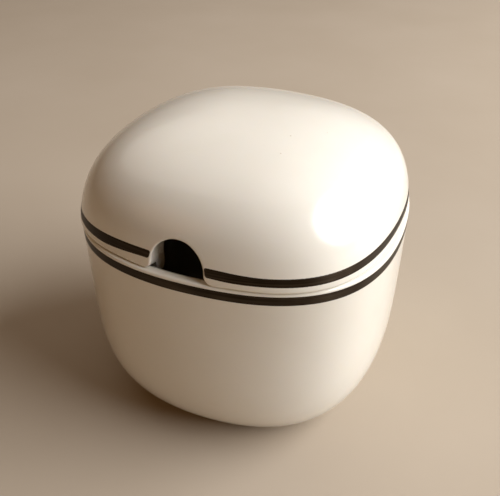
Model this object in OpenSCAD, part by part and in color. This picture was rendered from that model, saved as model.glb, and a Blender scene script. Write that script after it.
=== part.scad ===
// Lidded sugar bowl with a rounded-square plan and a spoon notch in its lid.
// Millimetres, +Z up. The origin is the centre of the foot, on the surface that the bowl
// stands on. The spoon notch looks along -Y, apart from the lid's small turn in its seat.

/* [Body] */
// Width of the bowl from one flat side to the other
body_w = 96; // [88:1:110]
// Height of the bowl's rim, where the lid sits
rim_z = 64.7; // [62:0.1:67]
// Height of the closed sugar bowl
total_h = 91.3; // [89:0.1:96]
// Thickness of the bowl's wall at the rim
bowl_wall = 3.6; // [3:0.1:4.2]
// Height of the bowl's inner floor
floor_z = 5.2; // [4.6:0.1:7]

/* [Plan] */
// Tightness of the bowl's corners: a larger value is tighter
bowl_corners = 3.7; // [3:0.1:4.5]
// Tightness of the lid's corners
lid_corners = 5; // [4:0.1:5.5]
// Bulge of the sides at the foot: 0 is flat, and 1 is as round as a circle
bulge_foot = 0.58; // [0.4:0.01:0.8]
// Bulge of the sides at the bowl's rim
bulge_rim = 0.44; // [0.4:0.01:0.6]
// Bulge of the sides at the lid's edge
bulge_seat = 0.43; // [0.4:0.01:0.6]
// Bulge of the sides at the top of the lid
bulge_top = 0.55; // [0.4:0.01:0.8]

/* [Foot] */
// Width of the foot ring across its outer edge
foot_w = 68; // [64:1:69]
// Width of the foot ring's flat, the part that touches the table
foot_flat = 2.6; // [2:0.1:4]
// Depth of the hollow inside the foot ring
foot_recess = 1.8; // [1:0.1:2.2]

/* [Lid] */
// How far the lid's edge stands back from the bowl's rim at the middle of a side
lid_setback = 0.7; // [0.5:0.1:1.2]
// Thickness of the lid's wall at its edge
lid_wall = 3.8; // [3.2:0.1:4.2]
// Thickness of the lid at its crown
crown_wall = 4; // [3.5:0.1:5]
// How far the lid's locating flange drops into the bowl
flange_drop = 5; // [3:0.5:6]
// Thickness of the flange
flange_t = 3.5; // [3:0.1:4]
// Clearance between the flange and the bowl's inner wall
flange_gap = 1.4; // [1.2:0.1:1.6]
// Radius of the arched spoon notch
notch_r = 7.6; // [6.5:0.1:9]
// Radius of the curves that flare the notch's feet, on which its arch springs
notch_foot_r = 2.6; // [1.5:0.1:3]
// Turn of the lid in its seat about the vertical axis, anticlockwise from above
lid_turn = -4.1; // [-5:0.1:5]
// How far the lid sits off-centre in its seat, along X
lid_x = -0.24; // [-0.3:0.01:0.3]
// How far the lid sits off-centre in its seat, along Y
lid_y = -0.23; // [-0.3:0.01:0.3]

/* [Bands] */
// Height of the metallic band on the lid, above the rim
lid_band_up = 2.1; // [1.2:0.1:2.5]
// Width of the band on the lid
lid_band_w = 2.4; // [1.5:0.1:3]
// Depth of the metallic band on the bowl, below the rim
bowl_band_down = 0.8; // [0.8:0.1:2]
// Width of the band on the bowl
bowl_band_w = 2.9; // [1.5:0.1:3.5]
// Thickness of the fired-on bands
band_t = 0.12; // [0.1:0.01:0.3]
// Distance from the notch to each end of the lid's band
band_end_gap = 0.6; // [0.4:0.1:1.5]

/* [Hidden] */

// Points round the plan, and rings up the curved stretches outside and inside
steps = 72;
outer_rings = 14;
inner_rings = 11;

// Bowl, outside. The profile is a superellipse in height, upright near the rim, and
// foot_share is what is left of its width at z = 0.
bowl_half = body_w / 2;
foot_share = 0.702;
bowl_bend = 6.27;
bowl_fall = 1.1;
foot_half = foot_w / 2;
foot_top_z = 0.6;
foot_slope = 0.9;
belly_z = 1.1;
recess_slope = 1.6;
lip_r = 0.8;
bowl_band_top = rim_z - bowl_band_down;
bowl_band_low = bowl_band_top - bowl_band_w;

// Bowl, inside
bore_half = bowl_half - bowl_wall;
bore_bend = 10;
bore_fall = 3.4;

// Lid, outside and inside. Both profiles are superellipses in height about one plane
// that lies well below the rim.
dome_plane_z = 0.516 * rim_z;
dome_bend = 5.99;
dome_fall = 2.59;
edge_half = bowl_half - lid_setback;
edge_r = 1;
ceiling_z = total_h - crown_wall;
vault_z = rim_z + 4;
lid_band_low = rim_z + lid_band_up;
lid_band_top = lid_band_low + lid_band_w;
flange_half = bore_half - flange_gap;
flange_z = rim_z - flange_drop;

// The notch is cut right through the lid's wall
notch_z = rim_z + notch_foot_r;
notch_outside = bowl_half + 10;
notch_inside = bowl_half - 20;

porcelain = [0.93, 0.90, 0.84];
lustre = [0.20, 0.15, 0.11];

// Clearance that keeps the facets of a band off the facets of the wall behind it
band_clear = 0.02;

// Half-width of the bowl's outside and inside at height z
function bowl_outer(z) = let (t = 1 - z / rim_z) bowl_half
    * (foot_share + (1 - foot_share) * pow(1 - pow(t, bowl_bend), 1 / bowl_fall));
function bowl_inner(z) = let (t = (rim_z - z) / (rim_z - floor_z)) bore_half
    * pow(1 - pow(t, bore_bend), 1 / bore_fall);

// Half-width of a dome at height z, whose crown is at crown_z and whose edge is half wide
function dome_share(z, crown_z) = let (t = (z - dome_plane_z) / (crown_z - dome_plane_z))
    pow(1 - pow(t, dome_bend), 1 / dome_fall);
function dome(z, crown_z, half) = half * dome_share(z, crown_z) / dome_share(rim_z, crown_z);
function lid_outer(z) = dome(z, total_h, edge_half);
function lid_inner(z) = min(flange_half - flange_t, dome(z, ceiling_z, edge_half - lid_wall));

// A ring of the bowl or of the lid: [half-width, height, tightness of corners, bulge]
function on_bowl(a, z) =
    [a, z, bowl_corners, bulge_foot + (bulge_rim - bulge_foot) * z / rim_z];
function on_lid(a, z) = [a, z, lid_corners,
    bulge_seat + (bulge_top - bulge_seat) * (z - rim_z) / (total_h - rim_z)];

// Heights from low to high, crowded towards the low end or towards the high end
function crowd_low(low, high, count) =
    [for (i = [0 : count]) low + (high - low) * (1 - cos(90 * i / count))];
function crowd_high(low, high, count) =
    [for (i = [0 : count]) low + (high - low) * sin(90 * i / count)];

// The points of one ring, which lies between a superellipse and a circle
function ring_points(ring) =
    [for (i = [0 : steps - 1])
        let (c = cos(360 * i / steps), s = sin(360 * i / steps), n = ring[2], w = ring[3])
        let (r = ring[0] / pow((1 - w) * (pow(abs(c), n) + pow(abs(s), n)) + w, 1 / n))
        [r * c, r * s, ring[1]]];

// The triangles between ring j and ring k
function strip(j, k) =
    [for (i = [0 : steps - 1])
        let (a = j * steps + i, b = k * steps + i)
        let (a2 = j * steps + (i + 1) % steps, b2 = k * steps + (i + 1) % steps)
        each [[a, b, b2], [a, b2, a2]]];

// A closed shell swept through rings: from the middle of its underside at low_z, out and
// round its edge, and back to the middle of its upper side at high_z
module shell(rings, low_z, high_z) {
    count = len(rings);
    low = count * steps;
    last = low - steps;
    polyhedron(
        points = concat([for (r = rings) each ring_points(r)], [[0, 0, low_z], [0, 0, high_z]]),
        faces = concat(
            [for (i = [0 : steps - 1]) [low, i, (i + 1) % steps]],
            [for (j = [0 : count - 2]) each strip(j, j + 1)],
            [for (i = [0 : steps - 1]) [low + 1, last + (i + 1) % steps, last + i]]),
        convexity = 6);
}

// A closed hoop through rings, which run anticlockwise round its section
module hoop(rings) {
    count = len(rings);
    polyhedron(
        points = [for (r = rings) each ring_points(r)],
        faces = [for (j = [0 : count - 1]) each strip(j, (j + 1) % count)],
        convexity = 6);
}

// The outline of the spoon notch about the centre of its arch, which has radius r: upright
// below the arch, past the flange, and flared where it meets the rim
module notch_outline(r) {
    circle(r, $fn = 64);
    translate([-r, flange_z - notch_z - 1])
        square([2 * r, notch_z - flange_z + 1]);
    difference() {
        translate([-r - notch_foot_r, -notch_foot_r])
            square([2 * (r + notch_foot_r), notch_foot_r]);
        for (side = [-1, 1])
            translate([side * (r + notch_foot_r), 0])
                circle(notch_foot_r, $fn = 48);
    }
}

// What the spoon notch cuts away
module notch(r) {
    translate([0, -notch_inside, notch_z])
        rotate([90, 0, 0])
            linear_extrude(notch_outside - notch_inside)
                notch_outline(r);
}

// The bowl: foot ring, curved wall, rounded rim and smooth inside, in one thickness
module bowl() {
    foot = [
        on_bowl(foot_half - foot_flat - recess_slope, foot_recess),
        on_bowl(foot_half - foot_flat, 0),
        on_bowl(foot_half, 0),
        on_bowl(foot_half + foot_slope, foot_top_z)];
    wall = [for (z = crowd_low(belly_z, bowl_band_low, outer_rings))
        on_bowl(bowl_outer(z), z)];
    lip = [for (t = [0, 30, 60, 90])
        on_bowl(bowl_outer(rim_z) - lip_r * (1 - cos(t)), rim_z - lip_r * (1 - sin(t)))];
    inside = [for (z = crowd_low(floor_z, rim_z, inner_rings)) on_bowl(bowl_inner(z), z)];
    color(porcelain)
        shell(concat(foot, wall, lip, [for (i = [inner_rings : -1 : 1]) inside[i]]),
            foot_recess, floor_z);
}

// The metallic band round the bowl, on the glaze just under the rim
module bowl_band() {
    low = bowl_outer(bowl_band_low) + band_clear;
    top = bowl_outer(bowl_band_top) + band_clear;
    color(lustre)
        hoop([
            on_bowl(low, bowl_band_low),
            on_bowl(low + band_t, bowl_band_low),
            on_bowl(top + band_t, bowl_band_top),
            on_bowl(top, bowl_band_top)]);
}

// The lid: a domed shell whose edge sits on the rim and whose flange drops inside it
module lid() {
    inside = [for (z = crowd_high(vault_z, ceiling_z, inner_rings)) on_lid(lid_inner(z), z)];
    flange = [
        on_bowl(flange_half - flange_t, flange_z),
        on_bowl(flange_half, flange_z),
        on_bowl(flange_half, rim_z)];
    edge = [for (t = [90, 60, 30, 0])
        on_lid(edge_half - edge_r * (1 - cos(t)), rim_z + edge_r * (1 - sin(t)))];
    wall = [for (z = [lid_band_low, each crowd_high(lid_band_top, total_h, outer_rings)])
        on_lid(lid_outer(z), z)];
    color(porcelain)
        difference() {
            shell(concat([for (i = [inner_rings - 1 : -1 : 0]) inside[i]], flange, edge,
                [for (i = [0 : outer_rings]) wall[i]]),
                ceiling_z, total_h);
            notch(notch_r);
        }
}

// What belongs to the lid, as the lid lies in its seat
module seated() {
    translate([lid_x, lid_y, 0]) rotate([0, 0, lid_turn]) children();
}

// The metallic band round the lid, on the glaze just above its edge and open at the notch
module lid_band() {
    low = lid_outer(lid_band_low) + band_clear;
    top = lid_outer(lid_band_top) + band_clear;
    color(lustre)
        difference() {
            hoop([
                on_lid(low, lid_band_low),
                on_lid(low + band_t, lid_band_low),
                on_lid(top + band_t, lid_band_top),
                on_lid(top, lid_band_top)]);
            notch(notch_r + band_end_gap);
        }
}

bowl();
bowl_band();
seated() lid();
seated() lid_band();
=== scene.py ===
"""A lidded porcelain sugar bowl with two metallic bands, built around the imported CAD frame.

Shapes are worked out in millimetres, in the CAD's own frame, and make_mesh() turns them into
metres. Heights and widths come from the CAD nodes; the curves between them follow the same
formulas as the CAD, with rounded edges added.
"""

import math

import bpy
from mathutils import Matrix, Vector


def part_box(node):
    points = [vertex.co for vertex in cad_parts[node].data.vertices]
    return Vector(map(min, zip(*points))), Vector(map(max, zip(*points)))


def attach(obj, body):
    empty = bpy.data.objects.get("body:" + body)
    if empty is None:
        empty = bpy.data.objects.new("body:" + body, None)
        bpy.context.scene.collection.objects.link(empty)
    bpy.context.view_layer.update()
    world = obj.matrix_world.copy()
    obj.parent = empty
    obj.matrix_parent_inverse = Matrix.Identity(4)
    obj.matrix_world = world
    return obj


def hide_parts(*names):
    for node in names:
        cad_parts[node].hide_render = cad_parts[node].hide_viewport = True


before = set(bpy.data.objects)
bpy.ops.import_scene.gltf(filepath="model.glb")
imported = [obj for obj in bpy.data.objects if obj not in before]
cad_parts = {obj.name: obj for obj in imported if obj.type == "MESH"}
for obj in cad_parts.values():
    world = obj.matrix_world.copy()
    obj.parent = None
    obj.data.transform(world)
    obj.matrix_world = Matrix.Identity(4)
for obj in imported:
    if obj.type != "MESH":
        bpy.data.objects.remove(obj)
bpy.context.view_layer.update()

MM = 0.001

# ---------------------------------------------------------------- sizes from the frame, in mm
bowl_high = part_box("bowl")[1] / MM
lid_low, lid_high = (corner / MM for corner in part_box("lid"))
bowl_band_low, bowl_band_high = (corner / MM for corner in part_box("bowl_band"))
lid_band_low, lid_band_high = (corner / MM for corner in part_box("lid_band"))

RIM = bowl_high.z
CROWN = lid_high.z
BOWL_HALF = bowl_high.x
FLANGE_Z = lid_low.z

# ---------------------------------------------------------------- sizes that the CAD also states
LID_TURN = math.radians(-4.1)
LID_SHIFT = (-0.24, -0.23)
BOWL_CORNERS = 3.7
LID_CORNERS = 5.0
BULGE_FOOT = 0.58
BULGE_RIM = 0.44
BULGE_SEAT = 0.43
BULGE_TOP = 0.55
FOOT_HALF = 34.0
FOOT_FLAT = 2.6
FOOT_RECESS = 1.8
FLOOR_Z = 5.2
BORE_HALF = BOWL_HALF - 3.6
FOOT_SHARE = 0.702
BOWL_BEND, BOWL_FALL = 6.27, 1.1
BORE_BEND, BORE_FALL = 10.0, 3.4
EDGE_HALF = BOWL_HALF - 0.7
LID_WALL = 3.8
CEILING = CROWN - 4.0
DOME_Z = 0.516 * RIM
DOME_BEND, DOME_FALL = 5.99, 2.59
FLANGE_HALF = BORE_HALF - 1.4
FLANGE_IN = FLANGE_HALF - 3.5
NOTCH_R = 7.6
NOTCH_FOOT_R = 2.6
NOTCH_Z = RIM + NOTCH_FOOT_R

# ---------------------------------------------------------------- rounded edges and detail
LIP_R = 0.8            # the bowl's rim, outside
LIP_IN_R = 1.8         # and inside, where it leads into the bore
SEAT_R = 1.0           # the lid's lower outer edge
NOTCH_EDGE_R = 0.55    # the glazed edge of the notch, outside
NOTCH_INNER_R = 0.8    # and inside
COLLAR_Z = RIM + 15.0  # the first level ring above the notch
FILM = 0.05            # the crown of a band's film over its edges
FILM_SINK = 0.01       # how far those edges sink into the glaze
FILM_BACK = 0.08       # how far the film's back lies under the glaze
BAND_GAP = 0.5         # from the notch to the tips of the lid's band
TIP_R = 0.75           # the rounded corners of those tips
TIP_BLEND = 4          # along the band, where its ends follow the notch
FOOT_R = 0.5           # the outer edge of the foot
FOOT_SLOPE = 2.8       # width of the slope from the foot up to the recess
COVE_Z = 1.2           # where the cove above the foot meets the wall
COVE_PULL_LOW = (0.3, 0.4)     # the Bezier handles of that cove
COVE_PULL_HIGH = (0.5, 0.3)
LIP_CLEAR = 0.4        # from the lip down to the first row of the bore
VAULT_BLEND = 1.5      # rounding between the flange's bore and the lid's vault
PLAN_BLEND = 9         # height over which the flange's plan turns into the lid's
NOTCH_FIRST_PULL = 2.2     # Bezier handles from the notch up to the collar ring
NOTCH_LAST_PULL = 4.5

# How the lid's band climbs towards the notch: reach along the band, and height
RIGHT_LOW_CLIMB = (8, 0.25)
RIGHT_HIGH_CLIMB = (16, 0.6)
LEFT_LOW_CLIMB = (18, 1.25)
LEFT_HIGH_CLIMB = (34, 1.2)

# ---------------------------------------------------------------- how fine the meshes are
AROUND = 256           # points round a full ring
RISE_ROWS = 18         # rows from the lid's edge up to the collar ring
ROLL_ROWS = 7          # rows round the lid's rounded lower edge
INNER_ROLL_ROWS = 6    # rows round the notch's inner edge
SEAT_ROWS = (5, 4, 5, 10, 6)   # rows of the seat, root, and flange outside, tip and inside
SECTION_ROWS = sum(SEAT_ROWS)
EDGE_BLEND = 6         # columns over which the seat's edge turns into the notch's
NEWTON_STEPS = 12
PROBE = 0.05           # step along a surface, to find its direction
PROBE_ANGLE = 0.001

# The lid's place in its seat
LID_SEAT = (Matrix.Translation((LID_SHIFT[0] * MM, LID_SHIFT[1] * MM, 0))
            @ Matrix.Rotation(LID_TURN, 4, "Z"))


# ---------------------------------------------------------------- small helpers
def mix(a, b, t):
    return a + (b - a) * t


def smooth(t):
    t = min(max(t, 0.0), 1.0)
    return t * t * (3 - 2 * t)


def steps(count, start=0, stop=None):
    """Fractions start/count to stop/count, both ends included."""
    return [i / count for i in range(start, (count if stop is None else stop) + 1)]


def bezier(corners, t):
    """The point at t on a cubic Bezier curve through four corners with two coordinates."""
    weights = ((1 - t) ** 3, 3 * t * (1 - t) ** 2, 3 * t * t * (1 - t), t ** 3)
    return tuple(sum(w * corner[k] for w, corner in zip(weights, corners)) for k in (0, 1))


def soft_min(a, b, width):
    """The smaller of a and b, with the corner between them rounded over width."""
    h = max(width - abs(a - b), 0.0) / width
    return min(a, b) - h * h * width / 4


def make_mesh(name, points, faces, body, material, place=None):
    """One smooth-shaded piece from points in millimetres, riding on a CAD body."""
    mesh = bpy.data.meshes.new(name)
    mesh.from_pydata([(x * MM, y * MM, z * MM) for x, y, z in points], [], faces)
    if place:
        mesh.transform(place)
    mesh.validate()
    mesh.update()
    mesh.shade_smooth()
    mesh.materials.append(material)
    piece = bpy.data.objects.new(name, mesh)
    bpy.context.scene.collection.objects.link(piece)
    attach(piece, body)
    return piece


def grid_faces(rows, columns, closed_columns=True, closed_rows=False):
    """Quads over a grid of points stored row by row."""
    faces = []
    for j in range(rows if closed_rows else rows - 1):
        for i in range(columns if closed_columns else columns - 1):
            i2, j2 = (i + 1) % columns, (j + 1) % rows
            faces.append((j * columns + i, j * columns + i2,
                          j2 * columns + i2, j2 * columns + i))
    return faces


def pole_faces(pole, row_start, columns, upward):
    """A fan of triangles from a pole to a ring."""
    fan = [(pole, row_start + i, row_start + (i + 1) % columns) for i in range(columns)]
    return fan if upward else [tuple(reversed(face)) for face in fan]


# ---------------------------------------------------------------- the curves that the CAD uses
def plan_radius(angle, plan):
    """Radius at an angle of a plan curve of half-width 1, which lies between a superellipse
    and a circle. A plan is the tightness of its corners and the bulge of its sides."""
    corners, bulge = plan
    c, s = abs(math.cos(angle)), abs(math.sin(angle))
    return (mix(c ** corners + s ** corners, 1, bulge)) ** (-1 / corners)


def mix_plan(a, b, t):
    return mix(a[0], b[0], t), mix(a[1], b[1], t)


def bowl_plan(z):
    return BOWL_CORNERS, mix(BULGE_FOOT, BULGE_RIM, z / RIM)


def lid_plan(z):
    return LID_CORNERS, mix(BULGE_SEAT, BULGE_TOP, (z - RIM) / (CROWN - RIM))


def bowl_outer(z):
    depth = max(1 - z / RIM, 0.0)
    share = (1 - depth ** BOWL_BEND) ** (1 / BOWL_FALL)
    return BOWL_HALF * mix(FOOT_SHARE, 1, share)


def dome_share(z, crown):
    t = (z - DOME_Z) / (crown - DOME_Z)
    return max(1 - t ** DOME_BEND, 0.0) ** (1 / DOME_FALL)


def lid_outer(z):
    return EDGE_HALF * dome_share(z, CROWN) / dome_share(RIM, CROWN)


def lid_inner(z):
    vault = (EDGE_HALF - LID_WALL) * dome_share(z, CEILING) / dome_share(RIM, CEILING)
    return soft_min(FLANGE_IN, vault, VAULT_BLEND)


def lid_inner_plan(z):
    return mix_plan(bowl_plan(RIM), lid_plan(z), smooth((z - RIM) / PLAN_BLEND))


# ---------------------------------------------------------------- materials
def node_material(name):
    """A new material with its node tree, its shader and a helper that adds nodes."""
    material = bpy.data.materials.new(name)
    material.use_nodes = True
    tree = material.node_tree
    shader = tree.nodes["Principled BSDF"]

    def add(kind, inputs=None, **settings):
        node = tree.nodes.new(kind)
        for key, value in settings.items():
            setattr(node, key, value)
        for key, value in (inputs or {}).items():
            if isinstance(value, bpy.types.NodeSocket):
                tree.links.new(value, node.inputs[key])
            else:
                node.inputs[key].default_value = value
        return node

    def link(output, socket):
        tree.links.new(output, shader.inputs[socket])

    return material, shader, add, link


def ramp(add, factor, stops):
    """A colour ramp over factor with stops of (position, colour)."""
    node = add("ShaderNodeValToRGB", {"Fac": factor})
    elements = node.color_ramp.elements
    while len(elements) < len(stops):
        elements.new(0.5)
    for element, (position, colour) in zip(elements, stops):
        element.position = position
        element.color = (*colour, 1)
    return node.outputs["Color"]


def porcelain_material():
    """Warm white glaze: faint clouding, rare iron specks, and a skin that isn't quite flat."""
    material, shader, add, link = node_material("porcelain_glaze")
    place = add("ShaderNodeTexCoord").outputs["Object"]
    cloud = add("ShaderNodeTexNoise", {"Vector": place, "Scale": 28.0, "Detail": 4.0})
    body = ramp(add, cloud.outputs["Fac"], [
        (0.30, (0.790, 0.757, 0.680)),
        (0.70, (0.835, 0.803, 0.730))])
    cells = add("ShaderNodeTexVoronoi", {"Vector": place, "Scale": 150.0})
    pick = add("ShaderNodeTexNoise", {"Vector": place, "Scale": 61.0, "Detail": 1.0})
    dot = add("ShaderNodeMath", {0: cells.outputs["Distance"], 1: 0.045},
              operation="LESS_THAN")
    few = add("ShaderNodeMath", {0: pick.outputs["Fac"], 1: 0.64}, operation="GREATER_THAN")
    speck = add("ShaderNodeMath", {0: dot.outputs[0], 1: few.outputs[0]},
                operation="MULTIPLY")
    colour = add("ShaderNodeMix", {"Factor": speck.outputs[0], "A": body,
                                   "B": (0.60, 0.53, 0.43, 1)}, data_type="RGBA")
    link(colour.outputs["Result"], "Base Color")

    fine = add("ShaderNodeTexNoise", {"Vector": place, "Scale": 210.0, "Detail": 3.0})
    gloss = add("ShaderNodeMapRange", {"Value": fine.outputs["Fac"], "To Min": 0.14,
                                       "To Max": 0.24})
    link(gloss.outputs["Result"], "Roughness")

    ripple = add("ShaderNodeTexNoise", {"Vector": place, "Scale": 46.0, "Detail": 1.5})
    skin = add("ShaderNodeTexNoise", {"Vector": place, "Scale": 420.0, "Detail": 1.0})
    wave = add("ShaderNodeBump", {"Height": ripple.outputs["Fac"], "Strength": 0.22,
                                  "Distance": 0.0006})
    grain = add("ShaderNodeBump", {"Height": skin.outputs["Fac"], "Strength": 0.10,
                                   "Distance": 0.0001, "Normal": wave.outputs["Normal"]})
    link(grain.outputs["Normal"], "Normal")
    shader.inputs["IOR"].default_value = 1.52
    shader.inputs["Coat Weight"].default_value = 0.4
    shader.inputs["Coat Roughness"].default_value = 0.13
    shader.inputs["Coat IOR"].default_value = 1.5
    shader.inputs["Subsurface Weight"].default_value = 0.12
    shader.inputs["Subsurface Radius"].default_value = (1.0, 0.7, 0.45)
    shader.inputs["Subsurface Scale"].default_value = 0.0012
    return material


def lustre_material():
    """Dark metallic lustre: brushed on round the piece, with faint streaks and thin patches."""
    material, shader, add, link = node_material("metallic_lustre")
    place = add("ShaderNodeTexCoord").outputs["Object"]
    stretch = add("ShaderNodeMapping", {"Vector": place, "Scale": (26.0, 26.0, 2600.0)})
    streak = add("ShaderNodeTexNoise", {"Vector": stretch.outputs["Vector"], "Scale": 1.0,
                                        "Detail": 3.0})
    patch = add("ShaderNodeTexNoise", {"Vector": place, "Scale": 70.0, "Detail": 3.0})
    blend = add("ShaderNodeMix", {"Factor": 0.45, "A": streak.outputs["Fac"],
                                  "B": patch.outputs["Fac"]}, data_type="FLOAT")
    tone = ramp(add, blend.outputs["Result"], [
        (0.32, (0.018, 0.012, 0.008)),
        (0.52, (0.048, 0.036, 0.025)),
        (0.70, (0.100, 0.080, 0.060))])
    link(tone, "Base Color")
    gloss = add("ShaderNodeMapRange", {"Value": blend.outputs["Result"], "From Min": 0.3,
                                       "From Max": 0.7, "To Min": 0.30, "To Max": 0.44})
    link(gloss.outputs["Result"], "Roughness")
    bump = add("ShaderNodeBump", {"Height": streak.outputs["Fac"], "Strength": 0.25,
                                  "Distance": 0.00004})
    link(bump.outputs["Normal"], "Normal")
    around = add("ShaderNodeTangent", direction_type="RADIAL", axis="Z")
    link(around.outputs["Tangent"], "Tangent")
    shader.inputs["Anisotropic"].default_value = 0.85
    shader.inputs["Anisotropic Rotation"].default_value = 0.25
    shader.inputs["Metallic"].default_value = 1.0
    return material


def floor_material():
    """A plain pale surface, faintly mottled."""
    material, shader, add, link = node_material("pale_floor")
    place = add("ShaderNodeTexCoord").outputs["Object"]
    cloud = add("ShaderNodeTexNoise", {"Vector": place, "Scale": 9.0, "Detail": 6.0})
    tone = ramp(add, cloud.outputs["Fac"], [
        (0.3, (0.420, 0.348, 0.268)),
        (0.7, (0.450, 0.378, 0.298))])
    link(tone, "Base Color")
    shader.inputs["Roughness"].default_value = 0.80
    return material


# ---------------------------------------------------------------- the bowl
def bowl_profile():
    """[half-width, height] from the middle of the underside, round the rim, to the floor."""
    foot_in = FOOT_HALF - FOOT_FLAT
    recess_in = foot_in - FOOT_SLOPE
    underside = [(recess_in * t, FOOT_RECESS) for t in (0.03, 0.2, 0.4, 0.6, 0.8, 0.95)]
    underside += [(mix(recess_in, foot_in, t), FOOT_RECESS * (1 + math.cos(math.pi * t)) / 2)
                  for t in steps(10)]
    flat_end = FOOT_HALF - FOOT_R
    foot = [(mix(foot_in, flat_end, t), 0.0) for t in steps(3, 1)]
    foot += [(flat_end + FOOT_R * math.sin(a), FOOT_R * (1 - math.cos(a)))
             for a in (math.radians(d) for d in (12, 24, 36, 48, 60))]
    cove_foot = foot[-1]
    cove_top = (bowl_outer(COVE_Z), COVE_Z)
    cove = (cove_foot,
            (cove_foot[0] + COVE_PULL_LOW[0], cove_foot[1] + COVE_PULL_LOW[1]),
            (cove_top[0] - COVE_PULL_HIGH[0], cove_top[1] - COVE_PULL_HIGH[1]),
            cove_top)
    foot += [bezier(cove, t) for t in steps(6, 1, 5)]
    wall_top = RIM - LIP_R
    wall = [(bowl_outer(z), z) for z in
            (mix(COVE_Z, wall_top, 1 - math.cos(math.pi / 2 * t)) for t in steps(60))]
    outer_top = bowl_outer(RIM)
    lip = [(outer_top - LIP_R * (1 - math.cos(a)), wall_top + LIP_R * math.sin(a))
           for a in (math.radians(90 * t) for t in steps(8, 1))]
    lip_in = BORE_HALF + LIP_IN_R
    lip += [(mix(outer_top - LIP_R, lip_in, t), RIM) for t in steps(3, 1)]
    lip += [(lip_in - LIP_IN_R * math.sin(a), RIM - LIP_IN_R * (1 - math.cos(a)))
            for a in (math.radians(90 * t) for t in steps(12, 1))]
    depth = RIM - FLOOR_Z
    inside = [(BORE_HALF * (1 - (1 - t) ** BORE_BEND) ** (1 / BORE_FALL), FLOOR_Z + depth * t)
              for t in (1 - math.cos(math.pi / 2 * u) for u in steps(44, 5, 42))]
    inside = [p for p in reversed(inside) if p[1] < RIM - LIP_IN_R - LIP_CLEAR]
    last = inside[-1][0] / BORE_HALF
    inside += [(BORE_HALF * s, RIM - depth * (1 - s ** BORE_FALL) ** (1 / BORE_BEND))
               for s in (last * u for u in (0.9, 0.78, 0.64, 0.48, 0.32, 0.16, 0.03))]
    return underside + foot + wall + lip + inside


def build_bowl(material):
    profile = bowl_profile()
    points = []
    for half, z in profile:
        plan = bowl_plan(z)
        for i in range(AROUND):
            angle = 2 * math.pi * i / AROUND
            radius = half * plan_radius(angle, plan)
            points.append((radius * math.cos(angle), radius * math.sin(angle), z))
    faces = grid_faces(len(profile), AROUND)
    under, top = len(points), len(points) + 1
    points += [(0, 0, FOOT_RECESS), (0, 0, FLOOR_Z)]
    faces += pole_faces(under, 0, AROUND, upward=False)
    faces += pole_faces(top, (len(profile) - 1) * AROUND, AROUND, upward=True)
    piece = make_mesh("porcelain_bowl", points, faces, "bowl", material)
    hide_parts("bowl")


# ---------------------------------------------------------------- the lid
def on_front(x, z, half, plan):
    """The point at x and z on the -Y side of a ring, found by Newton's method."""
    corners, bulge = plan
    y = half
    for _ in range(NEWTON_STEPS):
        radius = math.hypot(x, y)
        excess = mix(abs(x) ** corners + y ** corners, radius ** corners, bulge)
        slope = corners * mix(y ** (corners - 1), radius ** (corners - 2) * y, bulge)
        y -= (excess - half ** corners) / slope
    return Vector((x, -y, z))


def outer_front(x, z):
    return on_front(x, z, lid_outer(z), lid_plan(z))


def inner_front(x, z):
    return on_front(x, z, lid_inner(z), lid_inner_plan(z))


def on_ring(angle, z, half, plan):
    radius = half * plan_radius(angle, plan)
    return Vector((radius * math.cos(angle), radius * math.sin(angle), z))


def outer_ring(angle, z):
    return on_ring(angle, z, lid_outer(z), lid_plan(z))


def inner_ring(angle, z):
    return on_ring(angle, z, lid_inner(z), lid_inner_plan(z))


def notch_outline():
    """The notch's outline from its right foot over the arch to its left foot, as
    (x, z, direction into the material, share of the seat's section kept there)."""
    foot_x = NOTCH_R + NOTCH_FOOT_R
    right = []
    for t in steps(20, 1):
        a = mix(math.radians(270), math.pi, t)
        out = (math.cos(a), math.sin(a))
        right.append((foot_x + NOTCH_FOOT_R * out[0], NOTCH_Z + NOTCH_FOOT_R * out[1],
                      (-out[0], -out[1]), 1 - smooth(t * 1.1)))
    arch = [(NOTCH_R * math.cos(a), NOTCH_Z + NOTCH_R * math.sin(a),
             (math.cos(a), math.sin(a)), 0.0)
            for a in (math.pi * t for t in steps(60, 1, 59))]
    left = [(-x, z, (-m[0], m[1]), keep) for x, z, m, keep in reversed(right)]
    return foot_x, right + arch + left


def curve_up(start, direction, end, count):
    """Points of a Bezier curve in x and z that leaves start along direction and reaches
    end going straight up."""
    handle = (start[0] + direction[0] * NOTCH_FIRST_PULL,
              start[1] + direction[1] * NOTCH_FIRST_PULL)
    arrive = (end[0], end[1] - NOTCH_LAST_PULL)
    return [bezier((start, handle, arrive, end), t) for t in steps(count)]


def edge_roll(start, down, inward, radius):
    """The rounded edge from start, which faces outwards, round to face down."""
    return [start + radius * (math.sin(a) * down + (1 - math.cos(a)) * inward)
            for a in (math.radians(90 * t) for t in steps(ROLL_ROWS, 1))]


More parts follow.
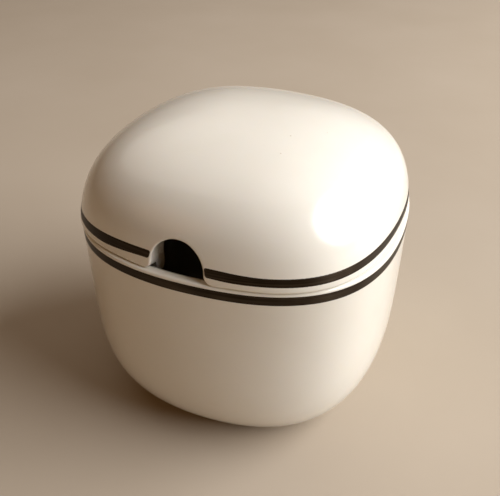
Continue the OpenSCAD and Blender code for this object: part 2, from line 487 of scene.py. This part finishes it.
def seat_section(angle, edge):
    """From the lid's lower edge, in along the seat, round the flange and up inside it."""
    def flange(half, z):
        return on_ring(angle, z, half, bowl_plan(z))
    seat_rows, root_rows, outer_rows, tip_rows, inner_rows = SEAT_ROWS
    root_r, tip_r = 0.7, (FLANGE_HALF - FLANGE_IN) / 2
    root_in = flange(FLANGE_HALF + root_r, RIM)
    path = [edge.lerp(root_in, t) for t in steps(seat_rows, 1)]
    path += [flange(FLANGE_HALF + root_r * (1 - math.sin(a)), RIM - root_r * (1 - math.cos(a)))
             for a in (math.radians(90 * t) for t in steps(root_rows, 1))]
    tip_z = FLANGE_Z + tip_r
    path += [flange(FLANGE_HALF, mix(RIM - root_r, tip_z, t)) for t in steps(outer_rows, 1)]
    middle = (FLANGE_HALF + FLANGE_IN) / 2
    path += [flange(middle + tip_r * math.cos(a), tip_z - tip_r * math.sin(a))
             for a in (math.pi * t for t in steps(tip_rows, 1))]
    path += [flange(FLANGE_IN, mix(tip_z, RIM, t)) for t in steps(inner_rows, 1)]
    return path


def notch_section(edge, outline, direction):
    """From the notch's outer edge straight in across the wall and round its inner edge, and
    the height at which that ends."""
    x, z = outline
    inner_x = x + direction[0] * NOTCH_INNER_R
    inner_z = z + direction[1] * NOTCH_INNER_R
    wall = inner_front(x, z)
    roll_start = wall - Vector((0, NOTCH_INNER_R, 0))
    path = [edge.lerp(roll_start, t) for t in steps(SECTION_ROWS - INNER_ROLL_ROWS, 1)]
    inner = inner_front(inner_x, inner_z)
    for t in steps(INNER_ROLL_ROWS, 1):
        a = math.radians(90 * t)
        aside = 1 - math.cos(a)
        along = math.sin(a)
        point = Vector((mix(x, inner.x, aside), 0, mix(z, inner.z, aside)))
        point.y = mix(roll_start.y, inner.y, along)
        path.append(point)
    return path, inner_z


def lid_columns():
    """Every column of the lid, each a list of points from the collar ring outside, down
    over the edge, and up to the collar ring inside."""
    foot_x, outline = notch_outline()
    right_foot = outer_front(foot_x, RIM)
    foot_angle = math.atan2(right_foot.y, right_foot.x)
    left_angle = -math.pi - foot_angle
    seat_count = round(AROUND * (1 - (foot_angle - left_angle) / (2 * math.pi)))
    sweep = 2 * math.pi + left_angle - foot_angle
    columns = []
    angles = []

    # The lower edge away from the notch, from its right foot round the back to the left
    for t in steps(seat_count):
        angle = foot_angle + sweep * t
        radius = mix(NOTCH_EDGE_R, SEAT_R, smooth(min(t, 1 - t) * seat_count / EDGE_BLEND))
        start_z = RIM + radius
        rise = [outer_ring(angle, mix(start_z, COLLAR_Z, u)) for u in steps(RISE_ROWS)]
        start = rise[0]
        down = (start - outer_ring(angle, start_z + PROBE)).normalized()
        nudge = (outer_ring(angle + PROBE_ANGLE, start_z)
                 - outer_ring(angle - PROBE_ANGLE, start_z))
        inward = Vector((-nudge.y, nudge.x, 0)).normalized()
        roll = edge_roll(start, down, inward, radius)
        section = seat_section(angle, roll[-1])
        inside = [inner_ring(angle, mix(RIM, COLLAR_Z, u)) for u in steps(RISE_ROWS, 1)]
        columns.append(rise[::-1] + roll + section + inside)
        angles.append(angle)

    # The notch, from its left foot back over the arch to its right foot
    span = len(outline) + 1
    for number, (x, z, direction, keep) in enumerate(reversed(outline), start=1):
        angle = mix(left_angle, foot_angle, number / span)
        start = (x + direction[0] * NOTCH_EDGE_R, z + direction[1] * NOTCH_EDGE_R)
        collar = outer_ring(angle, COLLAR_Z)
        rise = [outer_front(*p) for p in
                curve_up(start, direction, (collar.x, COLLAR_Z), RISE_ROWS)]
        ahead = outer_front(start[0] + direction[0] * PROBE, start[1] + direction[1] * PROBE)
        down = (rise[0] - ahead).normalized()
        roll = edge_roll(rise[0], down, Vector((0, 1, 0)), NOTCH_EDGE_R)
        section, inner_z = notch_section(roll[-1], (x, z), direction)
        here = outer_front(x, z)
        seat = seat_section(math.atan2(here.y, here.x), roll[-1])
        section = [a.lerp(b, keep) for a, b in zip(section, seat)]
        start_in = (section[-1].x, mix(inner_z, RIM, keep))
        collar_in = inner_ring(angle, COLLAR_Z)
        inside = [inner_front(*p) for p in
                  curve_up(start_in, direction, (collar_in.x, COLLAR_Z), RISE_ROWS)][1:]
        columns.append(rise[::-1] + roll + section + inside)
        angles.append(angle)
    return columns, angles


def dome_rings(crown, half_at_rim, count):
    """[half-width, height] up a dome from the collar towards the crown, without the pole."""
    full = half_at_rim / dome_share(RIM, crown)
    start = math.asin(((COLLAR_Z - DOME_Z) / (crown - DOME_Z)) ** (DOME_BEND / 2))
    rings = []
    for t in steps(count, 1):
        a = mix(start, math.radians(87.5), t)
        share, lift = math.cos(a) ** (2 / DOME_FALL), math.sin(a) ** (2 / DOME_BEND)
        rings.append((full * share, mix(DOME_Z, crown, lift)))
    last = rings[-1][0] / full
    for share in (last * u for u in (0.7, 0.45, 0.22, 0.06)):
        rings.append((full * share,
                      mix(DOME_Z, crown, (1 - share ** DOME_FALL) ** (1 / DOME_BEND))))
    return rings


def build_lid(material):
    columns, angles = lid_columns()
    count = len(columns)
    rows = [[column[j] for column in columns] for j in range(len(columns[0]))]
    outside = [[on_ring(a, z, half, lid_plan(z)) for a in angles]
               for half, z in reversed(dome_rings(CROWN, EDGE_HALF, 40))]
    inside = [[on_ring(a, z, min(half, FLANGE_IN), lid_inner_plan(z)) for a in angles]
              for half, z in dome_rings(CEILING, EDGE_HALF - LID_WALL, 30)]
    rows = outside + rows + inside
    points = [tuple(p) for row in rows for p in row]
    faces = grid_faces(len(rows), count)
    faces = [tuple(reversed(face)) for face in faces]
    crown, ceiling = len(points), len(points) + 1
    points += [(0, 0, CROWN), (0, 0, CEILING)]
    faces += pole_faces(crown, 0, count, upward=True)
    faces += pole_faces(ceiling, (len(rows) - 1) * count, count, upward=False)
    piece = make_mesh("porcelain_lid", points, faces, "lid", material, LID_SEAT)
    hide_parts("lid")


# ---------------------------------------------------------------- the bands
def band_section(low, high, surface, height=1.0):
    """Closed section of a band between low and high: a thin crowned film on the surface,
    with its back just under the glaze. surface(z, offset) gives a point."""
    middle, reach = (low + high) / 2, (high - low) / 2 * height
    across = [math.sin(math.radians(90) * u) for u in steps(8, -8)]
    front = [surface(middle + reach * v, FILM * (1 - v ** 8) - FILM_SINK) for v in across]
    back = [surface(middle + reach * v, -FILM_BACK) for v in (0.9, 0.45, 0.0, -0.45, -0.9)]
    return front + back


def waver(angle):
    """The slight unevenness of a band laid by hand, in millimetres."""
    return 0.035 * math.sin(5 * angle + 0.7) + 0.02 * math.sin(13 * angle + 2.1)


def build_bowl_band(material):
    count = AROUND
    low, high = bowl_band_low.z, bowl_band_high.z
    sections = []
    for i in range(count):
        angle = 2 * math.pi * i / count
        def surface(z, offset, angle=angle):
            return on_ring(angle, z, bowl_outer(z) + offset, bowl_plan(z))
        shift = waver(angle)
        sections.append(band_section(low + shift, high + shift * 0.5, surface))
    size = len(sections[0])
    points = [tuple(p) for section in sections for p in section]
    faces = grid_faces(count, size, closed_rows=True)
    piece = make_mesh("lustre_bowl_band", points, faces, "bowl", material)
    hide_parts("bowl_band")


def fade(distance, reach, height):
    """A height that dies away smoothly over reach."""
    return height * (1 - smooth(distance / reach))


def lid_band_edges(from_right, from_left):
    """Lower and upper edge of the lid's band, at distances along it from its two tips. The
    band climbs towards the notch, and more so on the left."""
    low = (lid_band_low.z + fade(from_right, *RIGHT_LOW_CLIMB)
           + fade(from_left, *LEFT_LOW_CLIMB))
    high = (lid_band_high.z + fade(from_right, *RIGHT_HIGH_CLIMB)
            + fade(from_left, *LEFT_HIGH_CLIMB))
    return low, high


def tip_reach(z):
    """Distance of the band's tips from the middle of the notch at height z."""
    return math.sqrt((NOTCH_R + BAND_GAP) ** 2 - (z - NOTCH_Z) ** 2)


def tip_angle(middle, side):
    tip = outer_front(side * tip_reach(middle), middle)
    return math.atan2(tip.y, tip.x)


def build_lid_band(material):
    full_length = 2 * math.pi * EDGE_HALF
    middle_right = sum(lid_band_edges(0, full_length)) / 2
    middle_left = sum(lid_band_edges(full_length, 0)) / 2
    start = tip_angle(middle_right, 1)
    sweep = tip_angle(middle_left, -1) + 2 * math.pi - start
    length = EDGE_HALF * sweep
    tips = [TIP_R * (1 - math.cos(math.radians(90 * t))) for t in steps(8)]
    body = [mix(TIP_R, length - TIP_R, t) for t in steps(AROUND, 1, AROUND - 1)]
    places = tips + body + [length - p for p in reversed(tips)]
    sections = []
    for place in places:
        angle = start + sweep * place / length
        low, high = lid_band_edges(place, length - place)
        middle, reach = (low + high) / 2, (high - low) / 2
        from_tip = min(place, length - place)
        short = max(1 - from_tip / TIP_R, 0)
        share = 1 - TIP_R / reach * (1 - math.sqrt(1 - short * short))
        lean = fade(from_tip, TIP_BLEND, 1 if place < length / 2 else -1) / EDGE_HALF
        def surface(z, offset, angle=angle, middle=middle, lean=lean):
            along = angle + lean * (tip_reach(z) - tip_reach(middle))
            return on_ring(along, z, lid_outer(z) + offset, lid_plan(z))
        shift = waver(angle + 1)
        sections.append(band_section(low + shift, high + shift * 0.5, surface, share))
    size = len(sections[0])
    points = [tuple(p) for section in sections for p in section]
    faces = grid_faces(len(sections), size)
    for number, upward in ((0, True), (len(sections) - 1, False)):
        section = sections[number]
        pole = len(points)
        points.append(tuple(sum(section, Vector()) / size))
        faces += pole_faces(pole, number * size, size, upward)
    piece = make_mesh("lustre_lid_band", points, faces, "lid", material, LID_SEAT)
    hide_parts("lid_band")


# ---------------------------------------------------------------- camera, floor and light
def add_camera():
    """The viewpoint: a little to the right of the notch's side, looking down on the lid."""
    azimuth, elevation, roll = (math.radians(d) for d in (19.431, 34.517, 0.6))
    distance, target_x, target_z, focal = 212.74, -0.16, 44.4, 645.95
    image_width, sensor = 500, 36.0
    back = Vector((math.sin(azimuth) * math.cos(elevation),
                   -math.cos(azimuth) * math.cos(elevation), math.sin(elevation)))
    right = Vector((math.cos(azimuth), math.sin(azimuth), 0))
    up = back.cross(right)
    target = right * target_x + Vector((0, 0, target_z))
    right, up = (right * math.cos(roll) + up * math.sin(roll),
                 up * math.cos(roll) - right * math.sin(roll))
    data = bpy.data.cameras.new("camera")
    data.sensor_width = sensor
    data.lens = sensor * focal / image_width
    data.clip_start = 0.01
    camera = bpy.data.objects.new("camera", data)
    place = Matrix((right, up, back)).transposed().to_4x4()
    place.translation = (target + back * distance) * MM
    camera.matrix_world = place
    bpy.context.scene.collection.objects.link(camera)
    bpy.context.scene.camera = camera


def add_floor(material):
    """A broad, level, pale floor."""
    size, cells = 4.0, 24
    points = [(size * (i / cells - 0.5), size * (j / cells - 0.5), 0.0)
              for j in range(cells + 1) for i in range(cells + 1)]
    faces = grid_faces(cells + 1, cells + 1, closed_columns=False)
    mesh = bpy.data.meshes.new("floor")
    mesh.from_pydata(points, [], faces)
    mesh.materials.append(material)
    floor = bpy.data.objects.new("floor", mesh)
    bpy.context.scene.collection.objects.link(floor)


def add_area(name, azimuth, elevation, distance, size, power, colour):
    """A soft oval light that looks at the middle of the object."""
    data = bpy.data.lights.new(name, "AREA")
    data.shape = "ELLIPSE"
    data.size, data.size_y = size
    data.energy = power
    data.color = colour
    light = bpy.data.objects.new(name, data)
    a, e = math.radians(azimuth), math.radians(elevation)
    back = Vector((math.sin(a) * math.cos(e), -math.cos(a) * math.cos(e), math.sin(e)))
    light.location = Vector((0, 0, 0.05)) + back * distance
    light.rotation_euler = back.to_track_quat("Z", "Y").to_euler()
    bpy.context.scene.collection.objects.link(light)


def add_lights():
    """A window on the right, a broad ceiling behind, a warm fill and a warm room. Each light
    has degrees round and up, metres away, its two sizes, watts and colour."""
    add_area("window", 103, 33, 1.1, (1.3, 1.1), 25, (0.98, 0.99, 1.0))
    add_area("ceiling", -165, 58, 1.5, (3.2, 2.4), 9, (1.0, 0.93, 0.84))
    add_area("fill", -40, 30, 1.8, (1.2, 1.0), 1.2, (1.0, 0.50, 0.15))
    world = bpy.data.worlds.new("room")
    world.use_nodes = True
    sky = world.node_tree.nodes["Background"]
    sky.inputs["Color"].default_value = (0.95, 0.48, 0.15, 1)
    sky.inputs["Strength"].default_value = 0.09
    bpy.context.scene.world = world


add_camera()
porcelain = porcelain_material()
lustre = lustre_material()
build_bowl(porcelain)
build_bowl_band(lustre)
build_lid(porcelain)
build_lid_band(lustre)
add_floor(floor_material())
add_lights()
bpy.context.scene.view_settings.view_transform = "Standard"
